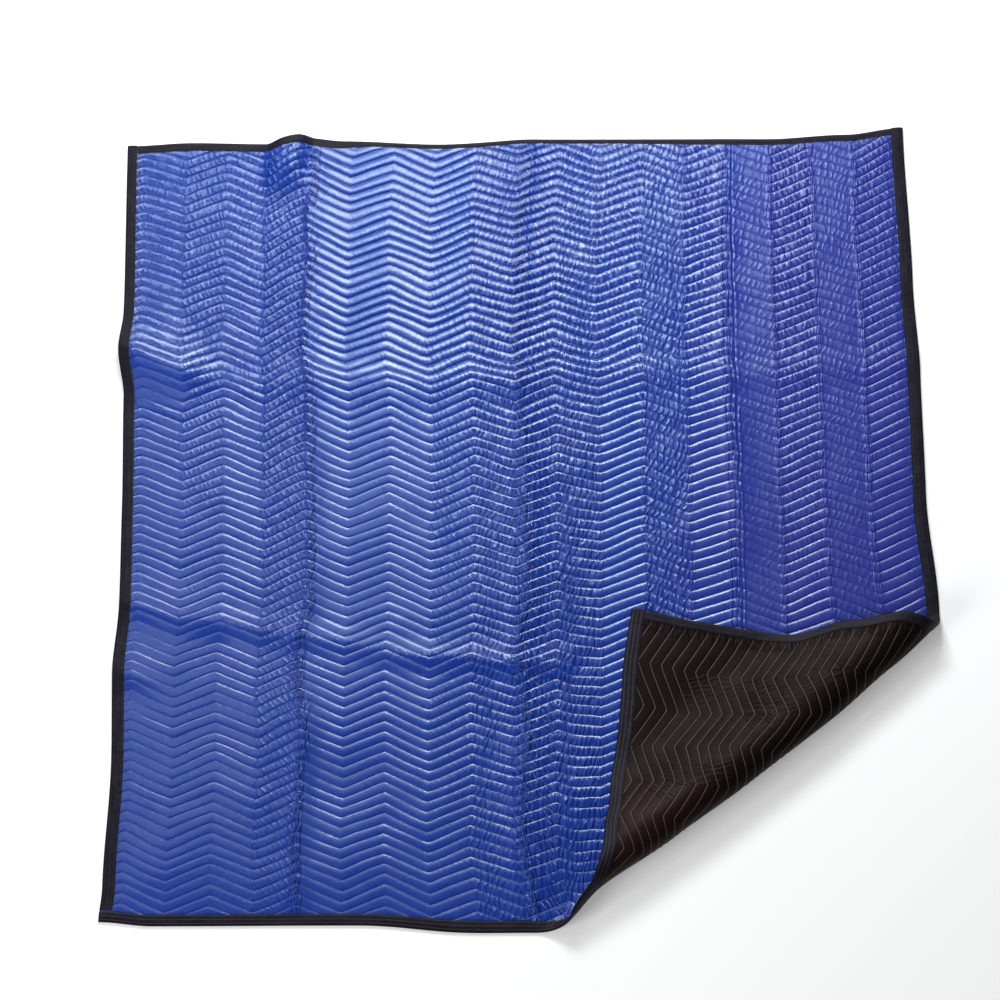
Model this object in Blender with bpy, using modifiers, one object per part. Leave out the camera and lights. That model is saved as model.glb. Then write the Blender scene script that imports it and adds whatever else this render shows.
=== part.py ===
"""A quilted moving blanket that lies face up on a floor, with one corner folded over.

Two quilted cloths, the face and the back, lie one on the other, and a tape binds each edge. Every piece is
made flat, in the blanket's own plane: x runs across its width, y along its length and z is the height over
the plane between the two cloths. lay() then sets that plane on the floor, with its uneven edges and storage
creases, and turns the corner over in a soft roll. Metres, +Z up.
"""

import bisect
import math

import bmesh
import bpy
from mathutils import Vector

# The cut size and the quilting.
WIDTH = 1.83
LENGTH = 2.03
LINES = 80
PITCH = LENGTH / LINES
HALF_WAVE = 0.0982  # a chevron line's run from a peak to the next valley
WAVE_RISE = 0.045  # and its rise over that run
FIRST_PEAK = 0.041  # the first peak's distance from the left edge
LINES_TO_A_COARSE_ROW = 4

# Thicknesses.
GAP = 0.0003
CLOTH = 0.0012  # each cloth along a stitch line
FACE_LOFT = 0.0021  # how far the face swells between two lines
BACK_LOFT = 0.0013
TAPE = 0.001
MIDDLE = GAP / 2 + CLOTH + GAP + TAPE  # the middle plane's height over the floor

# The binding: a tape in a U round the edge.
TAPE_WIDTH = 0.030
TAPE_OUT = 0.0017  # how far it stands out past the cloth's edge
TAPE_CORNER = 0.001  # how much its two folds are cut back
MARGIN = 0.032  # the cloth is pressed flat this far in from its edge
RAMP = 0.009  # and swells again over this width

# How far each edge lies out from its true line. Columns: place along the edge, distance out.
LEFT_OUT = ((-1.015, 0.010), (-0.93, 0.004), (-0.62, -0.007), (-0.39, -0.003), (-0.20, -0.014),
            (0.05, -0.013), (0.33, -0.009), (0.45, 0.006), (0.56, -0.003), (1.015, 0.0))
RIGHT_OUT = ((-1.015, 0.005), (-0.86, -0.002), (-0.66, -0.005), (-0.52, 0.038), (-0.40, 0.066),
             (-0.25, 0.047), (0.05, 0.028), (0.36, 0.025), (0.60, 0.015), (1.015, 0.004))
TOP_OUT = ((-0.915, -0.011), (-0.76, -0.002), (-0.59, -0.005), (-0.50, 0.012), (-0.40, 0.003),
           (-0.18, -0.006), (0.06, 0.008), (0.60, 0.009), (0.78, 0.021), (0.915, 0.040))
BOTTOM_OUT = ((-0.915, -0.012), (-0.80, -0.002), (-0.35, -0.004), (-0.15, 0.004), (0.03, -0.003),
              (0.13, -0.004), (0.22, -0.038), (0.28, -0.040), (0.40, -0.027), (0.53, -0.012),
              (0.70, -0.010), (0.915, -0.012))

# The storage creases that still stand up. Columns: the axis it crosses, its place on that axis, where it
# starts and ends along the other one, its height and its half width.
CREASES = (
    ("x", -0.4812, -0.98, 0.98, 0.0050, 0.0982),
    ("x", 0.0098, -0.98, 0.98, 0.0040, 0.0982),
    ("x", 0.5008, -0.16, 0.98, 0.0035, 0.0982),
    ("x", 0.5008, -0.98, -0.62, 0.0035, 0.0982),
    ("y", 0.3600, -0.88, 0.88, 0.0045, 0.1015),
    ("y", -0.3700, -0.88, 0.16, 0.0045, 0.1015),
)
CREASE_END = 0.13  # a crease runs out over this length

# The folded corner. The roll's outermost line runs from the bottom edge, at FOLD_LOW, to the right one, at
# FOLD_HIGH.
FOLD_LOW = Vector((0.1085, -0.9976))
FOLD_HIGH = Vector((0.9605, -0.2754))
FOLD_ALONG = (FOLD_HIGH - FOLD_LOW).normalized()
FOLD_OUT = Vector((FOLD_ALONG.y, -FOLD_ALONG.x))
# The roll's section, from the floor up and over. Columns: direction in degrees, 0 outwards and 90 up, length.
ROLL = ((20, 0.025), (58, 0.025), (96, 0.025), (134, 0.025), (168, 0.025), (194, 0.050), (203, None),
        (188, 0.050))
FLAP_HEIGHT = 0.0140  # the turned corner's middle plane over the floor
# How far the fold strays from its straight line. Columns: place across the blanket, distance out.
FOLD_STRAYS = ((0.10, 0.022), (0.20, 0.004), (0.36, 0.018), (0.52, 0.025), (0.69, 0.026), (0.80, 0.016),
               (0.96, 0.0))
STRAY_FADES = 0.22  # the stray dies away over this distance on the floor and on the flap
BARE = 0.01  # no crease stands this close to the roll
BARE_END = 0.05  # and one reaches its height over this distance

ON_CUT = 1e-6  # a point this close to a cut lies on it
SLACK = 1e-5  # a point this close to a border counts as on it
UNPLAN_STEPS = 8


def tent(distance, half_width):
    return max(0.0, 1.0 - abs(distance) / half_width)


def ease(share):
    share = min(1.0, max(0.0, share))
    return share * share * (3.0 - 2.0 * share)


def read(table, place):
    """A smooth value between a table's rows."""
    places = [row[0] for row in table]
    after = min(max(bisect.bisect_right(places, place), 1), len(table) - 1)
    (start, low), (end, high) = table[after - 1], table[after]
    return low + (high - low) * ease((place - start) / (end - start))


def chevron(x):
    """The height of a stitch line at x, which swings between plus and minus half its rise."""
    phase = (x + WIDTH / 2 - FIRST_PEAK) / HALF_WAVE
    return WAVE_RISE * (0.5 - abs((phase + 1.0) % 2.0 - 1.0))


def swell(y, x):
    """0 on a stitch line, 1 half way to the next."""
    lines = (y + LENGTH / 2 - chevron(x)) / PITCH
    return 1.0 - abs(2.0 * (lines % 1.0) - 1.0)


def columns():
    """The face's columns: its edges, its pressed margins and each turn of the chevrons."""
    inside = WIDTH / 2 - MARGIN
    found = [-WIDTH / 2, -inside, inside - RAMP, inside, WIDTH / 2]
    turn = FIRST_PEAK - WIDTH / 2
    while turn < inside - 2 * RAMP:
        found.append(turn)
        turn += HALF_WAVE
    return sorted(found)


def rows_on_edge(x):
    """Where the coarse rows meet the side edge at x, and that edge's two ends."""
    coarse = LINES_TO_A_COARSE_ROW * PITCH
    first = -LENGTH / 2 + chevron(x)
    places = [first + coarse * n for n in range(-1, LINES // LINES_TO_A_COARSE_ROW + 2)]
    return [-LENGTH / 2] + [y for y in places if abs(y) < LENGTH / 2 - GAP] + [LENGTH / 2]


def crossings():
    """Where a coarse row meets the top and bottom edges, half way between each two turns, and the columns."""
    first = FIRST_PEAK - WIDTH / 2 - HALF_WAVE / 2
    found = [first + HALF_WAVE * n for n in range(int(WIDTH / HALF_WAVE) + 2)]
    return sorted(columns() + [x for x in found if abs(x) < WIDTH / 2 - GAP])


STATIONS = {"left": rows_on_edge(-WIDTH / 2), "right": rows_on_edge(WIDTH / 2), "ends": columns()}


def straight(table, stations, place):
    """The table's value at the two stations round a place, with a straight line between them."""
    after = min(max(bisect.bisect_right(stations, place), 1), len(stations) - 1)
    start, end = stations[after - 1], stations[after]
    share = (place - start) / (end - start)
    return read(table, start) * (1.0 - share) + read(table, end) * share


def plan(x, y):
    """The place on the floor of a point of the flat blanket, before the corner is turned."""
    right = x / WIDTH + 0.5
    up = y / LENGTH + 0.5
    across = straight(RIGHT_OUT, STATIONS["right"], y) * right
    across -= straight(LEFT_OUT, STATIONS["left"], y) * (1.0 - right)
    along = straight(TOP_OUT, STATIONS["ends"], x) * up
    along -= straight(BOTTOM_OUT, STATIONS["ends"], x) * (1.0 - up)
    return Vector((x + across, y + along))


def roll_section():
    """The roll's corners as (run from its start, distance out, height, offset out, offset up).

    The open length in ROLL is the one that brings the flap down to its height. An offset is the way and the
    share by which a point over the middle plane moves there, mitred between the two sides that meet.
    """
    rise = sum(length * math.sin(math.radians(turn)) for turn, length in ROLL if length)
    open_turn = next(turn for turn, length in ROLL if not length)
    closing = (FLAP_HEIGHT - MIDDLE - rise) / math.sin(math.radians(open_turn))
    sides = [(math.radians(turn), length or closing) for turn, length in ROLL]
    turns = [0.0] + [turn for turn, _ in sides] + [math.pi]
    corners = []
    run, out, height = 0.0, 0.0, MIDDLE
    for i in range(len(turns) - 1):
        middle = (turns[i] + turns[i + 1]) / 2
        mitre = 1.0 / math.cos((turns[i + 1] - turns[i]) / 2)
        corners.append((run, out, height, -math.sin(middle) * mitre, math.cos(middle) * mitre))
        if i < len(sides):
            turn, length = sides[i]
            run += length
            out += length * math.cos(turn)
            height += length * math.sin(turn)
    return corners


SECTION = roll_section()
ROLL_RUN = SECTION[-1][0]
ROLL_DEPTH = max(corner[1] for corner in SECTION) + MIDDLE


def past_roll_start(place):
    """How far a place on the floor lies beyond the line where the roll leaves the floor."""
    return (place - FOLD_LOW).dot(FOLD_OUT) + ROLL_DEPTH


def creases(x, y, run):
    """How far the creases lift the cloth here. They stand up on the floor part and on the flap."""
    total = 0.0
    for axis, middle, start, end, height, half_width in CREASES:
        across, along = (x, y) if axis == "x" else (y, x)
        ends = ease((along - start) / CREASE_END) * ease((end - along) / CREASE_END)
        total += height * ends * tent(across - middle, half_width)
    from_edge = min(WIDTH / 2 - abs(x), LENGTH / 2 - abs(y))
    total *= ease((from_edge - MARGIN) / CREASE_END)
    return total * ease((max(-run, run - ROLL_RUN) - BARE) / BARE_END)


def lay(x, y, place, z):
    """Sets a point of the flat blanket on the floor or over the roll."""
    run = past_roll_start(place)
    w = (place - FOLD_LOW).dot(FOLD_ALONG)
    lift = creases(x, y, run)
    if run <= 0.0:
        out, height = run, MIDDLE + z + lift
    elif run >= ROLL_RUN:
        out, height = SECTION[-1][1] - (run - ROLL_RUN), FLAP_HEIGHT - z + lift
    else:
        after = bisect.bisect_right([corner[0] for corner in SECTION], run)
        low, high = SECTION[after - 1], SECTION[after]
        share = (run - low[0]) / (high[0] - low[0])
        out, height = (
            (low[i] + z * low[i + 2]) * (1.0 - share) + (high[i] + z * high[i + 2]) * share for i in (1, 2)
        )
    stray = straight(FOLD_STRAYS, STATIONS["ends"], x)
    stray *= ease(1.0 - max(-run, run - ROLL_RUN, 0.0) / STRAY_FADES)
    point = FOLD_LOW + FOLD_ALONG * w + FOLD_OUT * (out - ROLL_DEPTH + stray)
    return Vector((point.x, point.y, height))


def cut(mesh, place, normal, clear_outer=False):
    """Cuts the mesh along an upright plane, and drops what lies beyond it if asked."""
    bmesh.ops.bisect_plane(
        mesh,
        geom=mesh.verts[:] + mesh.edges[:] + mesh.faces[:],
        plane_co=(place[0], place[1], 0.0),
        plane_no=(normal[0], normal[1], 0.0),
        dist=ON_CUT,
        clear_outer=clear_outer,
    )


def cut_along_roll(mesh):
    """Cuts a mesh that lies in plan along each corner of the roll's section."""
    for run, *_ in SECTION:
        cut(mesh, FOLD_LOW + FOLD_OUT * (run - ROLL_DEPTH), FOLD_OUT)


def to_plan(mesh, x_layer, y_layer):
    """Notes each point's place on the flat blanket, and moves it to its place on the floor."""
    for vert in mesh.verts:
        vert[x_layer], vert[y_layer] = vert.co.x, vert.co.y
        place = plan(vert.co.x, vert.co.y)
        vert.co.x, vert.co.y = place


def sheet(height_at, fine):
    """One side of a cloth, in plan: a grid whose rows follow the chevrons, every fourth line a coarse row.

    height_at(x, y, run, pressed) gives its height over the middle plane. fine(run) says where it keeps the
    stitch lines between its coarse rows.
    """
    mesh = bmesh.new()
    across = columns()
    spare = math.ceil(WAVE_RISE / PITCH)
    count = 2 * (LINES + 2 * spare) + 1
    bmesh.ops.create_grid(mesh, x_segments=len(across) - 1, y_segments=count - 1, size=1.0)
    row_of = {}
    for vert in mesh.verts:
        column = round((vert.co.x + 1.0) / 2.0 * (len(across) - 1))
        row_of[vert] = round((vert.co.y + 1.0) / 2.0 * (count - 1)) - 2 * spare
        x = across[column]
        vert.co = (x, -LENGTH / 2 + row_of[vert] * PITCH / 2 + chevron(x), 0.0)
    between = mesh.edges.layers.int.new("between")
    for edge in mesh.edges:
        rows = {row_of[vert] for vert in edge.verts}
        edge[between] = len(rows) == 1 and rows.pop() % (2 * LINES_TO_A_COARSE_ROW) != 0
    for side in (1.0, -1.0):
        cut(mesh, (0.0, side * LENGTH / 2), (0.0, side), clear_outer=True)
        cut(mesh, (0.0, side * (LENGTH / 2 - MARGIN)), (0.0, side))
    x_layer = mesh.verts.layers.float.new("x")
    y_layer = mesh.verts.layers.float.new("y")
    to_plan(mesh, x_layer, y_layer)
    cut_along_roll(mesh)

    def pressed(vert):
        x, y = vert[x_layer], vert[y_layer]
        return min(WIDTH / 2 - abs(x), LENGTH / 2 - abs(y)) < MARGIN + SLACK

    plain = []
    for edge in mesh.edges:
        middle = (edge.verts[0].co + edge.verts[1].co).xy / 2
        if edge[between] and (all(map(pressed, edge.verts)) or not fine(past_roll_start(middle))):
            plain.append(edge)
    bmesh.ops.dissolve_edges(mesh, edges=plain, use_verts=True)
    for vert in mesh.verts:
        vert.co.z = height_at(vert[x_layer], vert[y_layer], past_roll_start(vert.co.xy), pressed(vert))
    bmesh.ops.triangulate(mesh, faces=mesh.faces[:])
    return mesh


def add_sheet(mesh, other, upwards):
    """Adds a side to a cloth, laid in its final place."""
    x_layer = other.verts.layers.float["x"]
    y_layer = other.verts.layers.float["y"]
    rim = {}
    made = {}
    for vert in other.verts:
        made[vert] = mesh.verts.new(lay(vert[x_layer], vert[y_layer], vert.co.xy, vert.co.z))
        rim[vert] = (round(vert[x_layer], 5), round(vert[y_layer], 5))
    for face in other.faces:
        corners = [made[vert] for vert in face.verts]
        facing = face.normal.z > 0.0
        mesh.faces.new(corners if facing == upwards else corners[::-1])
    return {
        frozenset(rim[vert] for vert in edge.verts): {rim[vert]: made[vert] for vert in edge.verts}
        for edge in other.edges
        if edge.is_boundary
    }


def close_rim(mesh, upper, lower):
    """Joins the two sides of a cloth along its edges, where their points lie over each other."""
    for key, above in upper.items():
        below = lower[key]
        a, b = key
        mesh.faces.new((above[a], above[b], below[b], below[a]))


def cloth(name, outer_height, fine, inner, outer_faces_up, material):
    """A cloth as one closed solid, from its quilted outer side and the plain side against the other cloth."""
    outer_sheet = sheet(outer_height, fine)
    inner_sheet = sheet(lambda *_: inner, lambda run: False)
    mesh = bmesh.new()
    outer_rim = add_sheet(mesh, outer_sheet, outer_faces_up)
    inner_rim = add_sheet(mesh, inner_sheet, not outer_faces_up)
    close_rim(mesh, outer_rim, inner_rim)
    bmesh.ops.recalc_face_normals(mesh, faces=mesh.faces[:])
    outer_sheet.free()
    inner_sheet.free()
    return finish(name, mesh, material)


def face_height(x, y, _run, pressed):
    """The face's upper side: thin on each line and under the tape, swollen between the lines."""
    thin = GAP / 2 + CLOTH
    if pressed:
        return thin
    return thin + FACE_LOFT * swell(y, x)


def back_height(x, y, run, pressed):
    """The back's outer side: flat on the floor, and quilted from the roll on, where it is turned up."""
    thin = -GAP / 2 - CLOTH
    if pressed:
        return thin
    if run < 0.0:
        return -MIDDLE
    return thin - BACK_LOFT * swell(y, x)


def tape_profile():
    """The tape's outer section, as (distance in from the cloth's edge, height over the middle plane)."""
    return (
        (TAPE_WIDTH, MIDDLE),
        (TAPE_CORNER - TAPE_OUT, MIDDLE),
        (-TAPE_OUT, MIDDLE / 2),
        (-TAPE_OUT, -MIDDLE / 2),
        (TAPE_CORNER - TAPE_OUT, -MIDDLE),
        (TAPE_WIDTH, -MIDDLE),
    )


def binding(name, side, start, end, material):
    """One edge's tape, an open U made solid, from start to end along its edge."""
    profile = tape_profile()
    stations = crossings() if side in ("top", "bottom") else STATIONS[side]
    along = [start] + [place for place in stations if start + TAPE < place < end - TAPE] + [end]
    mesh = bmesh.new()
    bmesh.ops.create_grid(mesh, x_segments=len(along) - 1, y_segments=len(profile) - 1, size=1.0)
    for vert in mesh.verts:
        place = along[round((vert.co.x + 1.0) / 2.0 * (len(along) - 1))]
        inward, z = profile[round((vert.co.y + 1.0) / 2.0 * (len(profile) - 1))]
        vert.co = {
            "left": (inward - WIDTH / 2, place, z),
            "right": (WIDTH / 2 - inward, place, z),
            "bottom": (place, inward - LENGTH / 2, z),
            "top": (place, LENGTH / 2 - inward, z),
        }[side]
    x_layer = mesh.verts.layers.float.new("x")
    y_layer = mesh.verts.layers.float.new("y")
    to_plan(mesh, x_layer, y_layer)
    cut_along_roll(mesh)
    bmesh.ops.recalc_face_normals(mesh, faces=mesh.faces[:])
    outermost = max(mesh.faces, key=lambda face: face.calc_center_median().z)
    if outermost.normal.z < 0.0:
        bmesh.ops.reverse_faces(mesh, faces=mesh.faces[:])
    flat = finish(name, mesh, material)
    shell = flat.modifiers.new("Tape", "SOLIDIFY")
    shell.thickness = TAPE
    shell.offset = -1.0
    shell.use_even_offset = True
    bpy.context.view_layer.update()
    solid = bpy.data.meshes.new_from_object(flat.evaluated_get(bpy.context.evaluated_depsgraph_get()))
    flat.modifiers.remove(shell)
    flat.data = solid
    for vert in solid.vertices:
        place = vert.co.xy
        vert.co = lay(*unplan(place), place, vert.co.z)
    return flat


def unplan(place):
    """The point of the flat blanket that plan() sets at a place, found by stepping towards it."""
    guess = place.copy()
    for _ in range(UNPLAN_STEPS):
        guess += place - plan(*guess)
    return guess


def finish(name, mesh, material):
    """Makes a mesh an object of the blanket."""
    data = bpy.data.meshes.new(name)
    mesh.to_mesh(data)
    mesh.free()
    data.materials.append(material)
    thing = bpy.data.objects.new(name, data)
    bpy.data.collections["Moving blanket"].objects.link(thing)
    return thing


def make_material(name, colour, roughness):
    made = bpy.data.materials.new(name)
    made.use_nodes = True
    shader = made.node_tree.nodes["Principled BSDF"]
    shader.inputs["Base Color"].default_value = (*colour, 1.0)
    shader.inputs["Roughness"].default_value = roughness
    shader.inputs["Metallic"].default_value = 0.0
    return made


def stand_on_origin(pieces):
    """Moves the blanket so that the origin is under the middle of its box."""
    corners = [vert.co for piece in pieces for vert in piece.data.vertices]
    low = Vector([min(corner[i] for corner in corners) for i in range(3)])
    high = Vector([max(corner[i] for corner in corners) for i in range(3)])
    shift = Vector(((low.x + high.x) / 2, (low.y + high.y) / 2, 0.0))
    for corner in corners:
        corner -= shift


def main():
    for thing in list(bpy.data.objects):
        bpy.data.objects.remove(thing, do_unlink=True)
    bpy.context.scene.collection.children.link(bpy.data.collections.new("Moving blanket"))
    blue = make_material("Blue face cloth", (0.05, 0.08, 0.38), 0.38)
    black = make_material("Black back cloth", (0.022, 0.016, 0.015), 0.62)
    tape = make_material("Black binding tape", (0.025, 0.023, 0.026), 0.70)
    half_width = WIDTH / 2
    half_length = LENGTH / 2
    inside = TAPE_WIDTH + GAP
    pieces = [
        cloth("face_cloth", face_height, lambda run: True, GAP / 2, True, blue),
        cloth("back_cloth", back_height, lambda run: run > 0.0, -GAP / 2, False, black),
        binding("binding_left", "left", inside - half_length, half_length + TAPE_OUT, tape),
        binding("binding_right", "right", inside - half_length, half_length + TAPE_OUT, tape),
        binding("binding_top", "top", inside - half_width, half_width - inside, tape),
        binding("binding_bottom", "bottom", -half_width - TAPE_OUT, half_width + TAPE_OUT, tape),
    ]
    stand_on_origin(pieces)


main()
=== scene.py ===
"""The looks of a quilted moving blanket that lies face up on a floor, with one corner folded over.

Each sheet is made flat, in the blanket's own plane, as in the part's source: x runs across, y along, and z is
the height over the plane between the two cloths. lay() then sets it on the floor with its uneven edges and
creases, and turns the corner over. Quilting, creases and roll are in the meshes' points. Puckers, crumpled
creases, weave and sewing are bump and colour in the materials, which read each point's place on the flat
blanket. Metres, +Z up.
"""

import math

import bmesh
import bpy
import numpy as np
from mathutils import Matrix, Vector


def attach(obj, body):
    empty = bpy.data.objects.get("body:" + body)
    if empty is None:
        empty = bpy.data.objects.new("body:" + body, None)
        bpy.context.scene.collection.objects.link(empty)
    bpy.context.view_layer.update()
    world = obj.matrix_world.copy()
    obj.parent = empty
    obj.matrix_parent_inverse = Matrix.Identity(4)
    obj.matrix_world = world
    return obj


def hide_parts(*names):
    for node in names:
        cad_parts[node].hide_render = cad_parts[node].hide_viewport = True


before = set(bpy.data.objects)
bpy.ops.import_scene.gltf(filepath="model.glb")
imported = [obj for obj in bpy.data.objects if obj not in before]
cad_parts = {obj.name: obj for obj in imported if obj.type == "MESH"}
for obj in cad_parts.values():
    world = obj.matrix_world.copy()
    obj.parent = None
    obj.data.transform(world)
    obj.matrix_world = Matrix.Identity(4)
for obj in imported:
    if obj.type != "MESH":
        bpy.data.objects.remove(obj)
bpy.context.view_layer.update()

# The cut size and the quilting, as in the part's source.
WIDTH, LENGTH = 1.83, 2.03
LINES = 80
PITCH = LENGTH / LINES
HALF_WAVE = 0.0982  # a chevron line's run from a peak to the next valley
WAVE_RISE = 0.045  # and its rise over that run
FIRST_PEAK = 0.041  # the first peak's distance from the left edge
ROUNDED = 0.02  # how much of a run rounds off its turns
GAP = 0.0003  # between the two cloths
CLOTH = 0.0012  # each cloth along a stitch line
TAPE = 0.001
MIDDLE = GAP / 2 + CLOTH + GAP + TAPE  # the middle plane's height over the floor
ORIGIN = (0.020532, 0.012716)  # the part's origin, from the middle of the flat blanket

# How far each edge lies out from its true line. Columns: place along the edge, distance out.
LEFT_OUT = ((-1.015, 0.010), (-0.93, 0.004), (-0.62, -0.007), (-0.39, -0.003), (-0.20, -0.014),
            (0.05, -0.013), (0.33, -0.009), (0.45, 0.006), (0.56, -0.003), (1.015, 0.0))
RIGHT_OUT = ((-1.015, 0.005), (-0.86, -0.002), (-0.66, -0.005), (-0.52, 0.038), (-0.40, 0.066),
             (-0.25, 0.047), (0.05, 0.028), (0.36, 0.025), (0.60, 0.015), (1.015, 0.004))
TOP_OUT = ((-0.915, -0.011), (-0.76, -0.002), (-0.59, -0.005), (-0.50, 0.012), (-0.40, 0.003),
           (-0.18, -0.006), (0.06, 0.008), (0.60, 0.009), (0.78, 0.021), (0.915, 0.040))
BOTTOM_OUT = ((-0.915, -0.012), (-0.80, -0.002), (-0.35, -0.004), (-0.15, 0.004), (0.03, -0.003),
              (0.13, -0.004), (0.22, -0.038), (0.28, -0.040), (0.40, -0.027), (0.53, -0.012),
              (0.70, -0.010), (0.915, -0.012))
RIGHT_POWER = 6  # the right edge's course is felt near that edge alone

# How far the quilting is drawn to the left. Columns: place across, distance.
DRAWN = ((-0.915, 0.0), (-0.45, 0.010), (-0.10, 0.015), (0.15, 0.019), (0.45, 0.008), (0.62, 0.0),
         (0.915, 0.0))
DRAWN_EDGE = 0.25  # it is drawn less this near the top and bottom edges
# How the quilting wanders. Rows: across and along. Columns: distance, size of the swings, seed.
DRIFTS = ((0.0028, 0.09, 31), (0.0034, 0.075, 32))
DRIFT_EDGE = 0.12  # it wanders less this near the edges

# The folded corner, as in the part's source. Its outermost line runs from the bottom edge to the right one.
FOLD_LOW = np.array((0.1085, -0.9976))
FOLD_HIGH = np.array((0.9605, -0.2754))
FOLD_ALONG = (FOLD_HIGH - FOLD_LOW) / np.linalg.norm(FOLD_HIGH - FOLD_LOW)
FOLD_OUT = np.array((FOLD_ALONG[1], -FOLD_ALONG[0]))
# The roll's section, from the floor up and over. Columns: direction in degrees, 0 outwards and 90 up, length.
ROLL = ((20, 0.025), (58, 0.025), (96, 0.025), (134, 0.025), (168, 0.025), (194, 0.050), (203, None),
        (188, 0.050))
SECTION_STEPS = 400
FLAP_HEIGHT = 0.0140  # the turned corner's middle plane over the floor
# How far the fold strays from its straight line. Columns: place across, distance out.
FOLD_STRAYS = ((0.10, 0.022), (0.20, 0.004), (0.36, 0.018), (0.52, 0.025), (0.69, 0.026), (0.80, 0.016),
               (0.96, 0.0))
STRAY_FADES = 0.22  # the stray dies away over this distance on the floor and on the flap

# The ridges that the cloth stands up in, on the flat blanket. Columns: start, end, height at each, half width
# on the left and on the right as one goes, how crumpled the crest is, and how blunt (1 is sharp).
RIDGES = (
    ((-0.474, 1.00), (-0.486, -0.98), 0.0035, 0.0035, 0.045, 0.045, 1.6, 2.0),
    ((0.022, 1.00), (0.034, -0.98), 0.0048, 0.0048, 0.050, 0.065, 1.3, 2.0),
    ((0.496, 1.00), (0.503, -0.10), 0.0018, 0.0018, 0.045, 0.045, 0.3, 2.0),
    ((0.503, -0.62), (0.500, -1.05), 0.0025, 0.0025, 0.040, 0.040, 0.3, 2.0),
    ((-1.00, 0.495), (-0.73, 0.375), 0.0260, 0.0165, 0.150, 0.165, 0.0, 1.2),
    ((-0.70, 0.365), (0.05, 0.372), 0.0038, 0.0038, 0.060, 0.075, 0.12, 2.0),
    ((0.05, 0.372), (0.95, 0.385), 0.0022, 0.0022, 0.060, 0.060, 0.06, 2.0),
    ((-1.00, -0.198), (-0.68, -0.262), 0.0062, 0.0035, 0.110, 0.060, 0.08, 1.3),
    ((-0.72, -0.262), (-0.20, -0.345), 0.0035, 0.0035, 0.055, 0.045, 0.2, 2.0),
    ((-0.22, -0.345), (0.12, -0.375), 0.0058, 0.0058, 0.060, 0.050, 0.4, 1.4),
    ((-1.00, -0.378), (-0.78, -0.418), 0.0120, 0.0010, 0.110, 0.070, 0.0, 1.3),
    ((-0.535, 1.15), (-0.535, 0.900), 0.0210, 0.0210, 0.060, 0.056, 0.1, 3.0),
)
RIDGE_END = 0.10  # a ridge runs out over this length
RIDGE_WANDER = 0.010  # how far it wanders from its line
RIDGE_SWING = 0.11  # over this length
RIDGE_SEED = 5
CRUMPLED = 0.016  # how far from a ridge's crest its cloth is crumpled
# How far slack lifts the cloth. Columns: half of the most it does, size of its bumps, seed.
SLACKS = ((0.0016, 0.17, 1), (0.0008, 0.07, 2))
SLACK_EDGE = 0.15  # there is less of it this near the edges
BARE = 0.01  # no ridge or slack stands this close to the roll
BARE_END = 0.05  # and they reach their height over this distance

# How puckered the face is. Rows: the chevron's runs from the left edge. Columns: the places PUCKER_AT along.
PUCKER_AT = (-1.0, -0.35, 0.15, 0.80)
PUCKERS = (
    (0.00, 0.05, 0.12, 0.40),
    (0.00, 0.05, 0.08, 0.22),
    (0.00, 0.05, 0.25, 0.45),
    (0.05, 0.08, 0.14, 0.30),
    (0.30, 0.45, 0.80, 0.85),
    (0.00, 0.05, 0.00, 0.10),
    (0.00, 0.00, 0.05, 0.10),
    (0.00, 0.00, 0.10, 0.20),
    (0.05, 0.25, 0.40, 0.25),
    (0.35, 0.70, 1.00, 1.00),
    (0.80, 1.20, 1.35, 1.15),
    (0.70, 1.10, 1.10, 0.90),
    (0.30, 0.10, 0.10, 0.95),
    (0.50, 0.60, 0.60, 0.75),
    (0.25, 0.08, 0.08, 0.70),
    (0.20, 0.08, 0.08, 0.16),
    (0.12, 0.08, 0.35, 0.80),
    (0.10, 0.10, 0.12, 0.16),
    (0.10, 0.08, 0.10, 0.40),
    (0.20, 0.15, 0.12, 0.25),
)
# The puckered patches of the back. Columns: place across, place along, radius, strength.
BACK_PATCHES = (
    (0.735, -0.70, 0.13, 1.0), (0.76, -0.84, 0.08, 0.6), (0.80, -0.56, 0.10, 0.6),
    (0.51, -0.90, 0.10, 0.9), (0.53, -0.78, 0.09, 0.8), (0.62, -0.60, 0.08, 0.5),
)
# The face's smooth hollows beside its left creases. Columns: place across, place along, radius, smoothness.
CALM = (
    (-0.86, 0.370, 0.085, 0.9), (-0.80, 0.350, 0.065, 0.85),
    (-0.87, -0.460, 0.055, 0.8), (-0.84, -0.275, 0.05, 0.5),
)
CALM_CORE = 1.5  # a hollow is at its smoothest within 1 - 1 / CALM_CORE of its radius

# How the face swells between two stitch lines. Its upper side slopes by STEEP, times the shares at its place.
STEEP = 0.185
STEEP_ACROSS = ((-0.915, 1.00), (-0.52, 0.88), (-0.44, 0.72), (0.10, 0.76), (0.20, 0.95), (0.33, 0.90),
                (0.40, 0.70), (0.60, 0.58), (0.915, 0.46))
# The same, low on the blanket.
STEEP_LOW = ((-0.915, 0.25), (-0.52, 0.35), (-0.40, 0.80), (-0.10, 1.10), (0.915, 1.20))
LOW_STEEPS = ((-0.42, 1.0), (-0.05, 0.0))  # how far STEEP_LOW holds there: place along, share
STEEP_ALONG = ((-1.015, 0.55), (-0.60, 1.0), (0.50, 1.0), (1.015, 0.92))
# Where a channel's crest is. Columns: place across, share of the way up to the next line.
CRESTS = ((-0.915, 0.62), (-0.52, 0.60), (-0.44, 0.33), (0.10, 0.36), (0.17, 0.42), (0.20, 0.68),
          (0.915, 0.68))
LOW_CREST = 0.71  # where it is low on the blanket
LOW_CRESTS = ((0.05, 1.0), (0.50, 0.0))  # how far LOW_CREST holds: place along, share
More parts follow.
